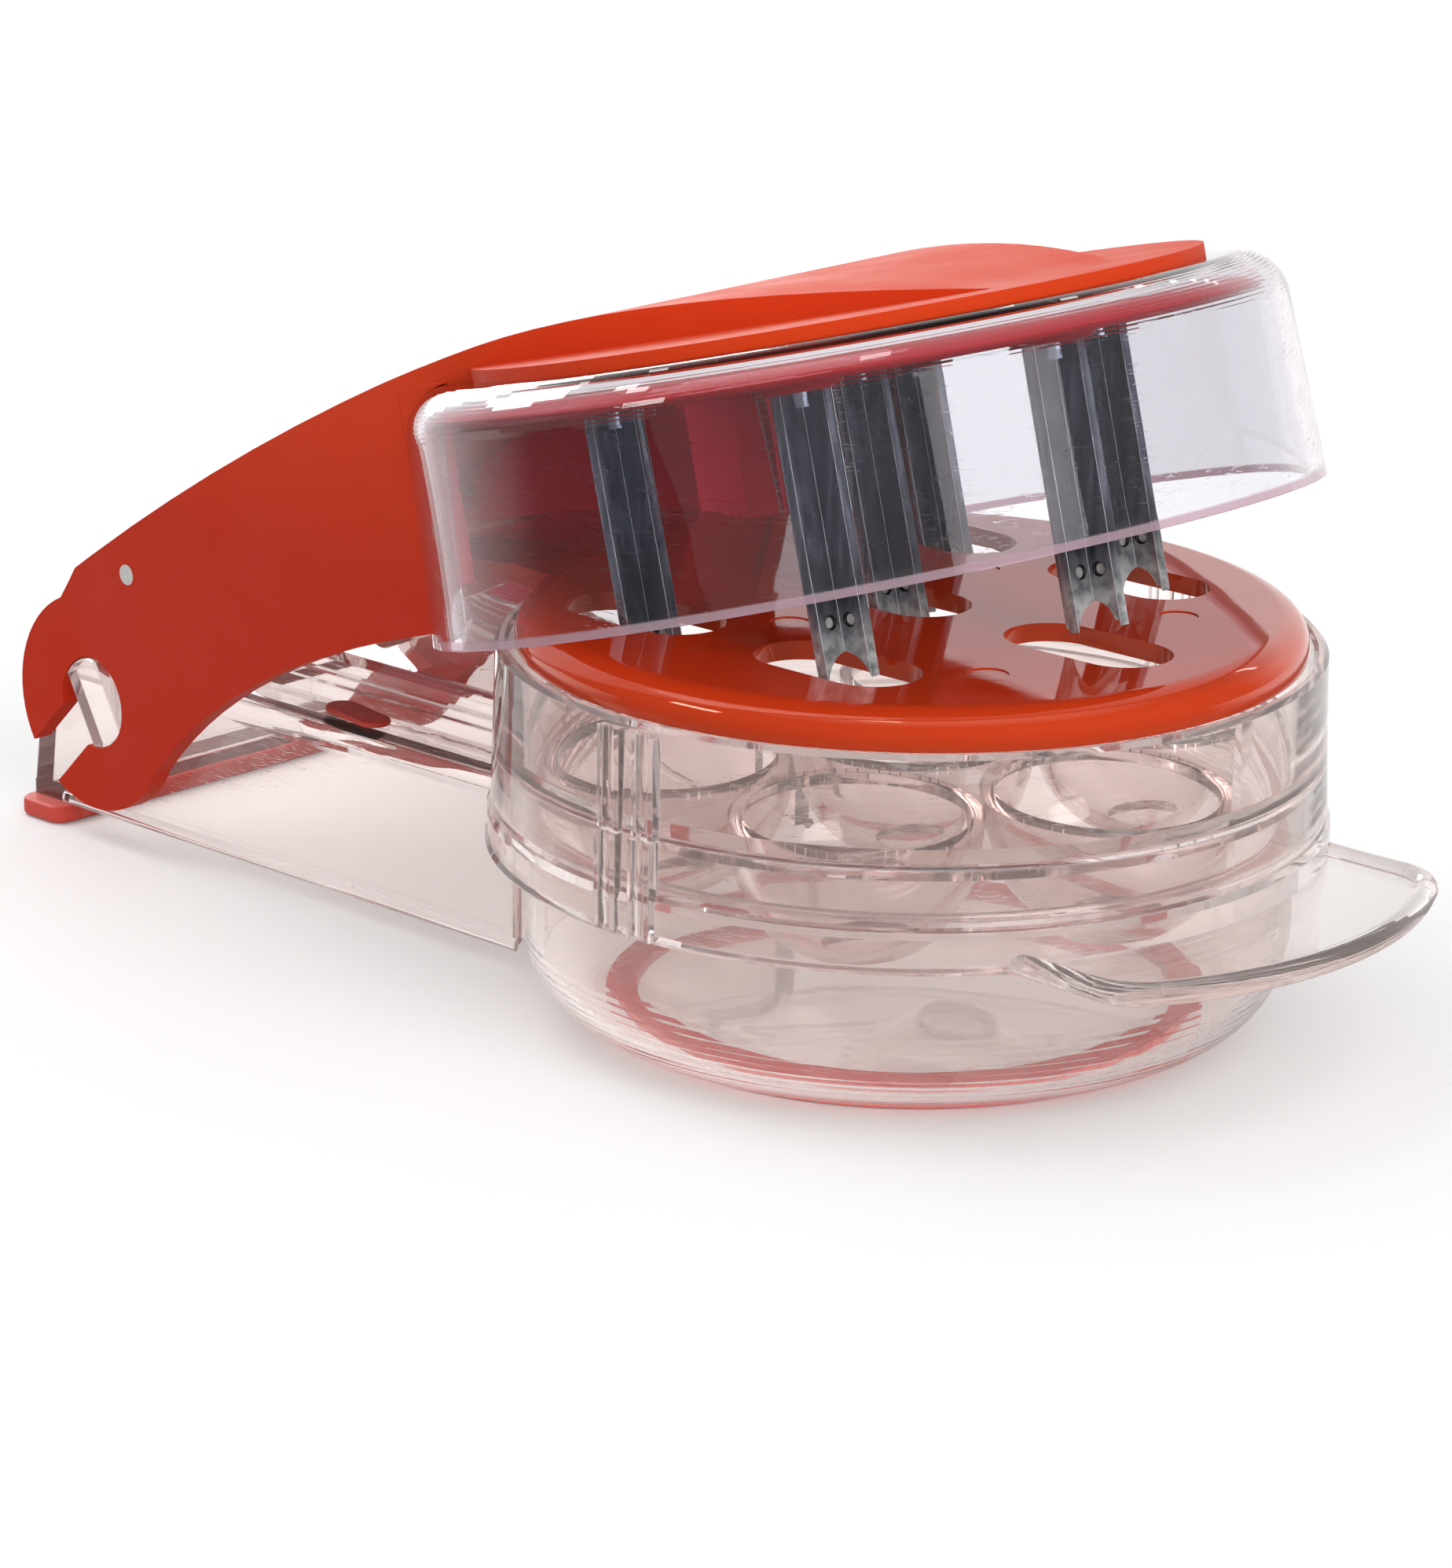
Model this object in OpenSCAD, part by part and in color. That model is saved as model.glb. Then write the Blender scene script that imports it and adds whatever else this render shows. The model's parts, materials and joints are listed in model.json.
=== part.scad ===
// Six-cherry pitter. A clear base carries a tray of six bowls over a pit cup. An orange handle
// hinged on two clear bosses at the tail drives six steel plungers through a stripper plate.
// X runs from the tail to the front tab, Z is up, and the XZ plane is the plane of symmetry.

/* [Hinge] */
// Distance from the bowl centre back to the hinge axis
hinge_reach = 126; // [124:0.5:128]
// Height of the hinge axis above the table
hinge_height = 20.5; // [20:0.5:21.5]
// How far the handle stands open at rest, in degrees
open_angle = 14.3; // [13:0.1:14.8]
// Radius of the clear hinge bosses
boss_r = 6.4; // [6:0.1:6.6]
// Width across the two flats of a boss
boss_flats = 6.4; // [5.6:0.1:6.6]

/* [Base] */
// Distance from the bowl centre back to the end of the tail foot
tail_end = 144.5; // [143.5:0.5:147]
// Half width of the tail over its side walls
tail_half_w = 27; // [26:0.5:27]
// Height of the tail's side shelves
shelf_z = 26; // [25:0.5:27]
// Height of the tail's raised middle deck
deck_z = 32.6; // [31:0.2:33]
// Half width of the raised middle deck
deck_half_w = 18; // [16:0.5:19]
// Height of the base ring's lower edge
ring_z = 22.6; // [22:0.2:23]
// Outer radius of the base ring
ring_r = 53.9; // [53.6:0.1:54.2]
// Distance from the bowl centre to the tip of the front tab
tab_tip = 71; // [68:0.5:74]
// Half width of the front tab
tab_half_w = 31.6; // [28:0.2:34]

/* [Tray] */
// Height of the tray's rim
rim_z = 49.7; // [48.5:0.1:50]
// Outer radius of the tray at its rim
tray_r = 53; // [52.6:0.1:53.2]
// Height of the seam between the tray and the base ring
seam_z = 35.6; // [35:0.1:36.2]
// Distance between neighbouring bowls
bowl_pitch = 32.5; // [32:0.1:33]
// Outer radius of a bowl
bowl_r = 15.6; // [15:0.1:15.8]
// Radius of the pit hole in a bowl
pit_hole_r = 5.4; // [5:0.1:5.7]

/* [Pit cup] */
// Outer radius of the cup
cup_r = 49.7; // [49:0.1:49.8]
// Radius of the cup's flat floor
cup_floor_r = 39.4; // [39.2:0.1:41]
// Height of the cup's rim
cup_rim_z = 27; // [26:0.1:27]
// Outer radius of the foot ring under the cup
foot_r = 38.6; // [36:0.1:38.8]

/* [Stripper plate] */
// Radius of the plate
plate_r = 50.5; // [50:0.1:50.8]
// Height of the plate's top face
plate_z = 54.1; // [53.8:0.1:54.3]
// Length of a plunger slot
slot_length = 23.6; // [22:0.2:24.4]
// Width of a plunger slot
slot_width = 12.3; // [11:0.1:12.6]
// How far the slots sit behind the plungers' closed places
slot_setback = 3.6; // [3:0.1:4.2]

/* [Lid and handle] */
// Outer radius of the lid at its rim
lid_r = 58; // [57.6:0.1:58.6]
// Height of the lid's rim at its middle when the lid is level
lid_rim_z = 27.9; // [27:0.1:29]
// Height of the lid's top face when the lid is level
lid_top_z = 58.9; // [58.6:0.1:59.3]
// Half width of the handle at the hinge
arm_half_w = 30.4; // [30.2:0.1:31]
// Half width of the handle where it meets the lid
arm_end_half_w = 34.8; // [33:0.2:35.2]
// Radius of the round lobe that holds the hinge hole
lobe_r = 15.6; // [15:0.1:15.8]
// Radius of the palm pad on the lid
pad_r = 47; // [44:0.5:49]

/* [Plungers] */
// Width across a plunger's fins
plunger_w = 9; // [8:0.1:9.2]
// Height of a plunger's tips when the lid is level
plunger_tip_z = 17; // [16.4:0.1:19]
// How far forward of the bowls the plungers stand
plunger_lead = 1.9; // [1.6:0.1:2.2]
// Radius of the steel cross pin
pin_r = 1.45; // [1.3:0.05:1.6]

/* [Hidden] */
$fn = 96;

clear_pink = [0.93, 0.88, 0.87, 0.45];
matte_orange = [0.80, 0.22, 0.12];
gloss_orange = [0.86, 0.20, 0.08];
soft_red = [0.80, 0.22, 0.16];
dark_steel = [0.42, 0.43, 0.45];
pin_steel = [0.72, 0.71, 0.69];

// Puts the middle of the rest-pose box over the origin
centre_shift = (tail_end - tab_tip) / 2;

wall = 2;
eps = 0.01;

// The five outer stations and the middle one; the rear station is left out for the handle
stations = [[0, 0], for (a = [-120, -60, 0, 60, 120]) bowl_pitch * [cos(a), sin(a)]];

// Tail
tail_wall_x = tail_end - 1;
tail_foot_len = 9.5;
tail_foot_half_w = 29.8;
tail_foot_corner_r = 2.5;
tail_foot_h = 2.6;
tail_edge_z = 3.4;
tail_fillet = 3.6;
tail_end_lean = 2.2;
tail_end_round = 8;
bead_r = 0.9;
bead_z = 3.6;
deck_step_z = 29.6;
deck_step_in = 1.8;
deck_rear_x = -107;
button_x = -81;
button_y = 21.1;
button_r = 2.3;
button_len = 12.6;
button_turn = 10;
button_h = 0.8;

// Base ring and cup
cup_gap = 0.7;
ring_in_r = 51.8;
ledge_z = cup_rim_z + 0.2;
ledge_h = 1.6;
ledge_in_r = cup_r - wall + 0.1;
cup_wall = 1.9;
cup_floor_z = 1.1;
foot_w = 3.8;
foot_sunk = 1.1;
bond = 0.08;
cup_corner_z = 12.5;

// Tab: a thin web with a round bead along its edge
tab_bead_r = 1.5;
tab_corner_r = 6.5;
tab_front_r = 54;
tab_z = ring_z + 1.1;

// Tray
tray_wall = 1.8;
tray_foot_r = 51.6;
tray_foot_z = ledge_z + ledge_h + 0.1;
tray_deck_z = 33.5;
tray_deck_h = 1.8;
bowl_wall = 1.6;
pit_hole_lead = 1.8;
rib_w = 3.6;
rib_x = 1.8;
rib_gap = 2.1;
rib_depth = 1.4;

// Stripper plate
plate_t = 2.4;
plate_edge_z = 49.3;
plate_flat_r = 46.4;
moulding_marks = [[28.4, 18.5], [-4.2, 18.3]];
mark_r = 2.6;
mark_depth = 0.15;
ear_y = 18.4;
ear_t = 2.6;
pin_slot_r = pin_r + 0.25;
eye_r = pin_slot_r + 1.7;
slot_overrun = 1;

// Steel pin, in the level pose and measured from the hinge
pin_from_hinge = [13.8, 17.7];
pin_radius = norm(pin_from_hinge);
pin_level_angle = atan2(pin_from_hinge[1], pin_from_hinge[0]);

// Handle
arm_wall = 3;
roof_t = 2.4;
hole_r = boss_r + 0.25;
mouth_w = 7.2;
mouth_angle = 210.7;
arm_lid_x = -46.2;
end_wall_x = -53;
end_wall_t = 2.2;
end_wall_z = 32;
arch_half_w = 22.5;
arch_top_z = 55.4;
roof_cut_x = -106;
roof_cut_half_w = 22.4;

// Lid and carrier
lid_wall = 2;
lid_taper = 1.3;
lid_rim_lean = 1.9;
lid_shoulder_r = 6.4;
lid_notch_half_w = 36;
carrier_z = 52.4;
carrier_top_z = lid_top_z - lid_wall - 0.02;
carrier_t = 1.5;
collar_r = 5.4;
carrier_r = 46;
pad_t = 1.6;
rib_front_x = 38;

// Plungers
stud_r = 2;
fin_t = 1.5;
plunger_notch_r = 4.6;
plunger_notch_depth = 3.5;
dimple_r = 0.85;
dimple_z = 7.2;
dimple_depth = 0.25;

// Spring
spring_r = 4.2;
spring_wire_r = 0.6;
spring_turns = 8;
spring_pitch = 1.35;

// Points along an arc, from angle a0 to a1
function arc(x, y, r, a0, a1, n = 16) =
    [for (i = [0:n]) [x + r * cos(a0 + (a1 - a0) * i / n), y + r * sin(a0 + (a1 - a0) * i / n)]];

// Points along a curve that leaves p towards c and arrives at q from c
function curve(p, c, q, n = 14) =
    [for (i = [0:n]) let (t = i / n) (1 - t) * (1 - t) * p + 2 * t * (1 - t) * c + t * t * q];

module placed() translate([centre_shift, 0, 0]) children();

// Lifts what is drawn with the handle level up to its rest pose
module raised()
    translate([-hinge_reach, 0, hinge_height]) rotate([0, -open_angle, 0])
        translate([hinge_reach, 0, -hinge_height]) children();

// Extrudes an XZ outline across the object
module across(w) rotate([90, 0, 0]) linear_extrude(w, center = true) children();

module mirrored() {
    children();
    mirror([0, 1, 0]) children();
}

module ring(r_out, r_in, z0, z1) rotate_extrude($fn = 180)
    translate([r_in, z0]) square([r_out - r_in, z1 - z0]);

// ---- Base ----

module tail_section(inset) {
    w = tail_half_w - inset;
    top = shelf_z - inset;
    r = tail_fillet - inset * 0.8;
    translate([-w, 0]) square([2 * w, top - r]);
    translate([-w + r, 0]) square([2 * (w - r), top]);
    for (s = [-1, 1]) translate([s * (w - r), top - r]) circle(r, $fn = 48);
    half = deck_half_w - inset;
    translate([-half, 0]) square([2 * half, deck_step_z - inset]);
    translate([-half + deck_step_in, 0]) square([2 * (half - deck_step_in), deck_z - inset]);
}

// Side outline of the tail: leaning end wall, round top corner, and a step up to the deck
module tail_side(inset) {
    x0 = -tail_wall_x + inset;
    top = shelf_z - inset;
    r = tail_end_round;
    polygon(concat(
        [[0, inset > 0 ? -1 : tail_edge_z], [x0, inset > 0 ? -1 : tail_edge_z]],
        arc(x0 + tail_end_lean + r, top - r, r, 175, 90),
        [[deck_rear_x + inset, top], [deck_rear_x + 5 + inset, deck_z + 1], [0, deck_z + 1]]));
}

module tail_form(inset) intersection() {
    translate([-tail_end, 0, 0]) rotate([90, 0, 90]) linear_extrude(tail_end) tail_section(inset);
    across(2 * tail_half_w + 2) tail_side(inset);
}

module tail_shell() {
    cup_wall_r = cup_r + cup_gap + wall;
    difference() {
        tail_form(0);
        difference() {
            tail_form(wall);
            cylinder(r = cup_wall_r, h = 2 * deck_z, center = true, $fn = 180);
        }
        cylinder(r = cup_r + cup_gap, h = 2 * ring_z, center = true, $fn = 180);
        cylinder(r = ring_in_r, h = deck_z + 10, $fn = 180);
    }
    intersection() {
        mirrored() translate([-tail_wall_x + 7, tail_half_w, bead_z])
            rotate([0, 90, 0]) cylinder(r = bead_r, h = tail_wall_x, $fn = 24);
        difference() {
            translate([-tail_end, -40, 0]) cube([tail_end, 80, 10]);
            cylinder(r = cup_wall_r - 0.5, h = 20, $fn = 180);
        }
    }
    translate([-tail_wall_x, -tail_half_w, tail_foot_h])
        cube([7.5, 2 * tail_half_w, tail_edge_z + 1.4 - tail_foot_h]);
}

module hinge_boss() translate([-hinge_reach, tail_half_w - eps, hinge_height]) rotate([0, -29, 0])
    intersection() {
        rotate([-90, 0, 0]) cylinder(r = boss_r, h = arm_half_w - tail_half_w - 0.1, $fn = 64);
        translate([-boss_flats / 2, -1, -boss_r]) cube([boss_flats, 10, 2 * boss_r]);
    }

module base_ring() {
    rotate_extrude($fn = 180) polygon([
        [ring_in_r, ledge_z], [ledge_in_r, ledge_z], [ledge_in_r, ledge_z + ledge_h],
        [ring_in_r, ledge_z + ledge_h], [ring_in_r, seam_z], [ring_r - 0.5, seam_z],
        [ring_r - 0.2, ledge_z + 1], [ring_r + 0.3, ledge_z], [ring_r + 0.1, ring_z + 1.2],
        [ring_r + 0.5, ring_z + 0.6], [ring_r, ring_z], [ring_in_r, ring_z]]);
    mirrored() rib_pair(ring_r - 0.6, ring_z + 0.4, seam_z);
}

// Two upright locating ribs side by side on the wall
module rib_pair(r, z0, z1) for (s = [-1, 1])
    translate([rib_x + s * (rib_w + rib_gap) / 2, r, z0]) difference() {
        translate([-rib_w / 2, -0.6, 0]) cube([rib_w, rib_depth + 0.6, z1 - z0]);
        translate([0, rib_depth + 0.5, -1]) cylinder(r = 1.1, h = z1 - z0 + 2, $fn = 32);
    }

function tab_outline() = let (
    corner_y = tab_half_w - tab_bead_r - tab_corner_r,
    front_x = tab_tip - tab_bead_r - tab_front_r,
    corner_x = front_x + sqrt(pow(tab_front_r - tab_corner_r, 2) - corner_y * corner_y),
    a = atan2(corner_y, corner_x - front_x))
    concat([[40, -corner_y - tab_corner_r]],
        arc(corner_x, -corner_y, tab_corner_r, -90, -a, 8),
        arc(front_x, 0, tab_front_r, -a, a, 24),
        arc(corner_x, corner_y, tab_corner_r, a, 90, 8),
        [[40, corner_y + tab_corner_r]]);

module front_tab() {
    corner_y = tab_half_w - tab_bead_r - tab_corner_r;
    front_x = tab_tip - tab_bead_r - tab_front_r;
    corner_x = front_x + sqrt(pow(tab_front_r - tab_corner_r, 2) - corner_y * corner_y);
    a = atan2(corner_y, corner_x - front_x);
    difference() {
        union() {
            translate([0, 0, ring_z]) linear_extrude(1.6) polygon(tab_outline());
            translate([front_x, 0, tab_z]) rotate([0, 0, -a]) rotate_extrude(angle = 2 * a)
                translate([tab_front_r, 0]) circle(tab_bead_r, $fn = 24);
            mirrored() translate([corner_x, corner_y, tab_z]) {
                rotate([0, 0, a - 2]) rotate_extrude(angle = 94 - a)
                    translate([tab_corner_r, 0]) circle(tab_bead_r + 0.06, $fn = 24);
                translate([0, tab_corner_r, 0]) rotate([0, -90, 0])
                    cylinder(r = tab_bead_r, h = corner_x - 40, $fn = 24);
            }
        }
        translate([0, 0, ring_z - 5]) cylinder(r = ring_in_r + 0.5, h = 20, $fn = 180);
    }
}

module base_shell() color(clear_pink) placed() {
    tail_shell();
    mirrored() hinge_boss();
    base_ring();
    front_tab();
}

module tail_foot() color(soft_red) placed() linear_extrude(tail_foot_h) {
    r = tail_foot_corner_r;
    translate([-tail_end + r, -tail_foot_half_w])
        square([tail_foot_len - 2 * r, 2 * tail_foot_half_w]);
    translate([-tail_end, -tail_foot_half_w + r])
        square([tail_foot_len, 2 * (tail_foot_half_w - r)]);
    for (x = [r, tail_foot_len - r], s = [-1, 1])
        translate([x - tail_end, s * (tail_foot_half_w - r)]) circle(r, $fn = 32);
}

// Two soft buttons on the tail's shelves
module stop_buttons() color(soft_red) placed() mirrored()
    translate([button_x, button_y, shelf_z]) rotate(button_turn) linear_extrude(button_h) union() {
        square([button_len - 2 * button_r, 2 * button_r], center = true);
        for (s = [-1, 1]) translate([s * (button_len / 2 - button_r), 0]) circle(button_r, $fn = 48);
    }

// ---- Tray ----

module cherry_tray() color(clear_pink) placed() {
    rotate_extrude($fn = 180) polygon([
        [tray_foot_r - tray_wall, tray_foot_z], [tray_foot_r, tray_foot_z],
        [tray_foot_r, seam_z + 0.1], [tray_r + 0.4, seam_z + 0.1], [tray_r, rim_z - 0.6],
        [tray_r - 0.6, rim_z], [tray_r - tray_wall + 0.5, rim_z],
        [tray_r - tray_wall, rim_z - 0.6], [tray_r - tray_wall - 0.6, seam_z + 2],
        [tray_foot_r - tray_wall, seam_z]]);
    difference() {
        translate([0, 0, tray_deck_z]) cylinder(r = tray_foot_r - 1, h = tray_deck_h, $fn = 180);
        for (p = stations) translate([p[0], p[1], tray_deck_z - 1])
            cylinder(r = bowl_r, h = tray_deck_h + 2);
    }
    mirrored() rib_pair(tray_r - 0.3, seam_z + 0.2, rim_z - 1);
}

// The pit hole leads the bowl's centre, because the plungers come down along an arc
module cherry_bowl(i) color(clear_pink) placed() translate([stations[i][0], stations[i][1], 0])
    difference() {
        rotate_extrude() difference() {
            union() {
                translate([0, tray_deck_z]) intersection() {
                    circle(bowl_r);
                    translate([0, -bowl_r]) square(bowl_r);
                }
                translate([0, tray_deck_z]) square([bowl_r, tray_deck_h]);
            }
            translate([0, tray_deck_z]) circle(bowl_r - bowl_wall);
            translate([0, tray_deck_z]) square([bowl_r - bowl_wall, tray_deck_h + 1]);
        }
        translate([pit_hole_lead, 0, tray_deck_z - bowl_r - 1])
            cylinder(r = pit_hole_r, h = bowl_r, $fn = 48);
    }

// ---- Pit cup ----

function cup_curve(inset) = [for (a = [0:6:90])
    [cup_floor_r + (cup_r - inset - cup_floor_r) * sin(a),
     cup_corner_z - (cup_corner_z - cup_floor_z - inset) * cos(a)]];

module pit_cup() color(clear_pink) placed() difference() {
    rotate_extrude($fn = 180) polygon(concat(
        [[0, cup_floor_z]], cup_curve(0), [[cup_r, cup_rim_z], [cup_r - cup_wall, cup_rim_z]],
        [for (i = [15:-1:0]) cup_curve(cup_wall)[i]], [[0, cup_floor_z + cup_wall]]));
    ring(foot_r, foot_r - foot_w, -1, cup_floor_z + foot_sunk);
}

// The ring is moulded onto the cup, so it bites into the clear plastic by the bond's depth
module cup_foot_ring() color(soft_red) placed()
    ring(foot_r + bond, foot_r - foot_w - bond, 0, cup_floor_z + foot_sunk + bond);

// ---- Stripper plate ----

module slot_2d() for (s = [-1, 1]) union() {
    translate([s * (slot_length - slot_width) / 2, 0]) circle(slot_width / 2, $fn = 64);
    square([slot_length - slot_width, slot_width], center = true);
}

// Outline of a slot bent round the hinge, r wide to each side of the pin's path
function bent_slot(r) = let (
    a0 = pin_level_angle - slot_overrun,
    a1 = pin_level_angle + open_angle,
    x0 = pin_radius * cos(a0) - hinge_reach,
    z0 = pin_radius * sin(a0) + hinge_height,
    x1 = pin_radius * cos(a1) - hinge_reach,
    z1 = pin_radius * sin(a1) + hinge_height)
    concat(
        arc(-hinge_reach, hinge_height, pin_radius + r, a0, a1, 8),
        arc(x1, z1, r, a1 + 18, a1 + 162, 8),
        arc(-hinge_reach, hinge_height, pin_radius - r, a1, a0, 8),
        arc(x0, z0, r, a0 + 198, a0 + 342, 8));

// An ear reaches back to the steel pin, which rides in the ear's bent slot
module plate_ear() translate([0, ear_y, 0]) across(ear_t) difference() {
    union() {
        polygon(concat(
            [[-45, 50], [-45, 52.4]],
            curve([-53, 52.6], [-76, 50], [-108, 40.4], 10),
            [[-111, 34], [-100, 34], [-88, 37.5], [-62, 46.5], [-54, 50]]));
        polygon(bent_slot(eye_r));
    }
    polygon(bent_slot(pin_slot_r));
}

module stripper_plate() color(gloss_orange) placed() {
    difference() {
        rotate_extrude($fn = 180) polygon(concat(
            [[0, plate_z - plate_t], [0, plate_z]],
            curve([plate_flat_r, plate_z], [plate_r, plate_z - 0.6], [plate_r, plate_edge_z + 1], 8),
            [[plate_r, plate_edge_z], [plate_r - 1.9, plate_edge_z],
             [plate_r - 2.1, plate_z - plate_t - 0.6], [plate_flat_r - 1, plate_z - plate_t]]));
        for (p = stations) translate([p[0] - slot_setback, p[1], plate_z - 5])
            linear_extrude(10) slot_2d();
        mirrored() for (m = moulding_marks) translate([m[0], m[1], plate_z - mark_depth])
            cylinder(r = mark_r, h = 1, $fn = 48);
    }
    mirrored() plate_ear();
    across(2 * ear_y) polygon(concat(
        [[-47, 50.4], [-47, 52.4]],
        curve([-53, 52.6], [-72, 51], [-92, 44.4], 8),
        curve([-92, 42.4], [-72, 48.8], [-54, 50.4], 8)));
}

// ---- Handle, lid and plungers, drawn level ----

function arm_top() = concat(
    curve([-124.2, 39.8], [-78.5, 55.7], [-31.3, 63.1], 18),
    curve([-31.3, 63.1], [-3, 67.4], [rib_front_x, lid_top_z + pad_t - 0.2], 12));

// Side outline: round lobe at the hinge, bowed lower edge, and a roof that runs on over the lid
module arm_outline() union() {
    top = arm_top();
    polygon(concat(
        curve([-114.4, 10], [-91.7, 25.6], [arm_lid_x, 27.2]),
        [[arm_lid_x, lid_top_z], [rib_front_x, lid_top_z]],
        [for (i = [len(top) - 1:-1:0]) top[i]],
        [[-130, 34.8], [-hinge_reach, hinge_height]]));
    translate([-hinge_reach, hinge_height]) circle(lobe_r);
}

// Plan outline: flares towards the lid, then narrows to the front of the palm rib
module arm_plan(inset) linear_extrude(90) {
    w0 = arm_half_w - inset;
    w1 = arm_end_half_w - inset;
    polygon(concat(
        [[-150, -w0], [-hinge_reach, -w0], [-50, -w1]],
        curve([-50, -w1], [-10, -w1 - 1], [rib_front_x + 0.5, -11], 12),
        curve([rib_front_x + 0.5, 11], [-10, w1 + 1], [-50, w1], 12),
        [[-hinge_reach, w0], [-150, w0]]));
}

module arm_hollow() intersection() {
    top = arm_top();
    across(90) polygon(concat(
        [[-160, -10], [arm_lid_x + 5, -10], [arm_lid_x + 5, lid_top_z - eps]],
        [for (i = [13:-1:0]) top[i] - [0, roof_t + 0.3]],
        [[-160, 30]]));
    arm_plan(arm_wall);
}

// Cross wall in front of the plate's arm, with a round-cornered arch for the arm to pass
module end_wall() difference() {
    translate([end_wall_x - end_wall_t, -32, end_wall_z]) cube([end_wall_t, 64, 23]);
    translate([end_wall_x, 0, 0]) rotate([90, 0, -90]) linear_extrude(10, center = true) {
        translate([-arch_half_w, 0]) square([2 * arch_half_w, arch_top_z - 6]);
        translate([-arch_half_w + 6, 0]) square([2 * (arch_half_w - 6), arch_top_z]);
        for (s = [-1, 1]) translate([s * (arch_half_w - 6), arch_top_z - 6]) circle(6, $fn = 48);
    }
}

module handle_arm() color(matte_orange) placed() raised() {
    difference() {
        intersection() {
            across(90) arm_outline();
            arm_plan(0);
        }
        arm_hollow();
        translate([-hinge_reach, 0, hinge_height]) rotate([90, 0, 0])
            cylinder(r = hole_r, h = 90, center = true);
        translate([-hinge_reach, 0, hinge_height]) rotate([0, -mouth_angle, 0])
            translate([0, -45, -mouth_w / 2]) cube([30, 90, mouth_w]);
        translate([-hinge_reach + pin_from_hinge[0], 0, hinge_height + pin_from_hinge[1]])
            rotate([90, 0, 0]) cylinder(r = pin_r, h = 90, center = true, $fn = 48);
        translate([-160, -roof_cut_half_w, 30]) cube([160 + roof_cut_x, 2 * roof_cut_half_w, 30]);
    }
    end_wall();
    translate([0, 0, lid_top_z]) cylinder(r = pad_r, h = pad_t, $fn = 180);
}

// Clear lid, drawn level; its rim plane leans up a little towards the front
module lid_dome() color(clear_pink) placed() raised() difference() {
    rotate_extrude($fn = 180) polygon(concat(
        [[lid_r - lid_wall, lid_rim_z - 3], [lid_r, lid_rim_z - 3]],
        arc(lid_r - lid_taper - lid_shoulder_r, lid_top_z - lid_shoulder_r, lid_shoulder_r, 4, 90),
        [[0, lid_top_z], [0, lid_top_z - lid_wall]],
        arc(lid_r - lid_taper - lid_shoulder_r, lid_top_z - lid_shoulder_r,
            lid_shoulder_r - lid_wall, 90, 4)));
    translate([0, 0, lid_rim_z]) rotate([0, -lid_rim_lean, 0]) translate([-80, -80, -20])
        cube([160, 160, 20]);
    translate([arm_lid_x - 40, -lid_notch_half_w, 0]) cube([40, 2 * lid_notch_half_w, 80]);
}

// Disc under the lid with a collar round each plunger's stud
module plunger_carrier() color(matte_orange) placed() raised() difference() {
    union() {
        translate([0, 0, carrier_top_z - carrier_t]) cylinder(r = carrier_r, h = carrier_t, $fn = 120);
        for (p = stations) translate([p[0] + plunger_lead, p[1], carrier_z])
            cylinder(r = collar_r, h = carrier_top_z - carrier_z - 0.1, $fn = 48);
    }
    for (p = stations) translate([p[0] + plunger_lead, p[1], carrier_z - 1])
        cylinder(r = stud_r + 0.02, h = 10, $fn = 32);
}

// Steel plunger of four fins, hollowed at the end so that each fin comes to a point
module plunger(i) color(dark_steel) placed() raised()
    translate([stations[i][0] + plunger_lead, stations[i][1], 0]) {
        difference() {
            intersection() {
                translate([0, 0, plunger_tip_z]) union() for (a = [0, 90]) rotate([0, 0, a])
                    translate([-10, -fin_t / 2, 0]) cube([20, fin_t, carrier_z - 0.02 - plunger_tip_z]);
                cylinder(d = plunger_w, h = 90, $fn = 64);
            }
            translate([0, 0, plunger_tip_z + plunger_notch_depth - plunger_notch_r])
                sphere(r = plunger_notch_r, $fn = 48);
            for (a = [0:90:270]) rotate([0, 0, a]) mirrored()
                translate([plunger_w * 0.27, fin_t / 2 - dimple_depth, plunger_tip_z + dimple_z])
                    rotate([-90, 0, 0]) cylinder(r = dimple_r, h = 1, $fn = 24);
        }
        translate([0, 0, carrier_z - 2])
            cylinder(r = stud_r, h = carrier_top_z - carrier_z + 2, $fn = 32);
    }

module steel_pin() color(pin_steel) placed() raised()
    translate([-hinge_reach + pin_from_hinge[0], 0, hinge_height + pin_from_hinge[1]])
        rotate([90, 0, 0]) cylinder(r = pin_r, h = 2 * arm_half_w + 1.6, center = true, $fn = 48);

// Points on the spring's wire: a leg up to the roof, the coil, and a leg down to the web
function spring_path() = let (
    steps = 16 * spring_turns,
    half = spring_turns * spring_pitch / 2)
    concat(
        [[11, -half - spring_pitch / 4, spring_r - 0.3]],
        [for (i = [0:steps]) let (a = 90 - 360 * spring_turns * i / steps)
            [spring_r * cos(a), -half + 2 * half * i / steps, spring_r * sin(a)]],
        [[13, half + spring_pitch / 4, spring_r - 1.5]]);

function unit(v) = v / norm(v);

// Sweeps a small round wire along a path
module wire(path, r, sides = 8) {
    n = len(path);
    dirs = [for (i = [0:n - 1]) unit(path[min(i + 1, n - 1)] - path[max(i - 1, 0)])];
    rings = [for (i = [0:n - 1]) let (u = unit(cross(dirs[i], [0, 1, 0.013])), v = cross(dirs[i], u))
        for (k = [0:sides - 1]) path[i] + r * (cos(360 * k / sides) * u + sin(360 * k / sides) * v)];
    polyhedron(rings, concat(
        [[for (k = [0:sides - 1]) k]],
        [for (i = [0:n - 2]) for (k = [0:sides - 1]) let (m = (k + 1) % sides)
            [i * sides + k, (i + 1) * sides + k, (i + 1) * sides + m, i * sides + m]],
        [[for (k = [sides - 1:-1:0]) (n - 1) * sides + k]]));
}

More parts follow.
